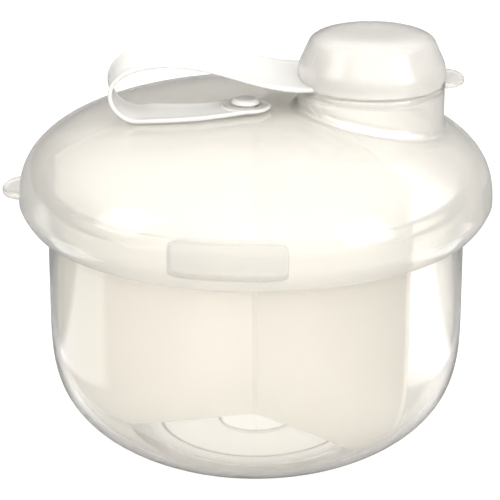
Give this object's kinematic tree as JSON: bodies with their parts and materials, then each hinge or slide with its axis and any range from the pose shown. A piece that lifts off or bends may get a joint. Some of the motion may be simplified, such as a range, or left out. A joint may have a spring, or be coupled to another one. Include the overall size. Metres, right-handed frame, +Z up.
{
  "type": "formula dispenser",
  "caption": "Round milky tub with a lift-out divider, a turning dome lid with a pouring spout, and a press-on spout cap held by a looped strap.",
  "frame": {"origin": "centre of the bowl's foot, on the surface that the bowl stands on", "axes": "+Z up; the spout stands on the +X side and the thumb tab on the -X side; -Y is the front"},
  "size_m": [0.1169, 0.112, 0.102],
  "materials": {
    "bowl_plastic": "milky translucent, smooth",
    "divider_plastic": "milky translucent, satin",
    "lid_plastic": "milky translucent, smooth",
    "cap_plastic": "milky translucent, smooth",
    "strap_plastic": "thin clear-milky, smooth"
  },
  "bodies": {
    "bowl": {"bowl": "bowl_plastic"},
    "divider": {"divider": "divider_plastic"},
    "lid": {"lid": "lid_plastic", "strap_lower": "strap_plastic"},
    "cap": {"spout_cap": "cap_plastic", "strap_upper": "strap_plastic"}
  },
  "joints": [
    {"name": "divider_lift", "type": "slide", "parent": "bowl", "child": "divider", "axis": [0, 0, 1], "range_m": [0, 0.08]},
    {"name": "lid_turn", "type": "hinge", "parent": "divider", "child": "lid", "pos_m": [0, 0, 0.06], "axis": [0, 0, 1], "continuous": true},
    {"name": "cap_swing", "type": "hinge", "parent": "lid", "child": "cap", "pos_m": [-0.0344, -0.00745, 0.0896], "axis": [0.0714, -0.9974, 0], "range_deg": [0, 170]}
  ]
}
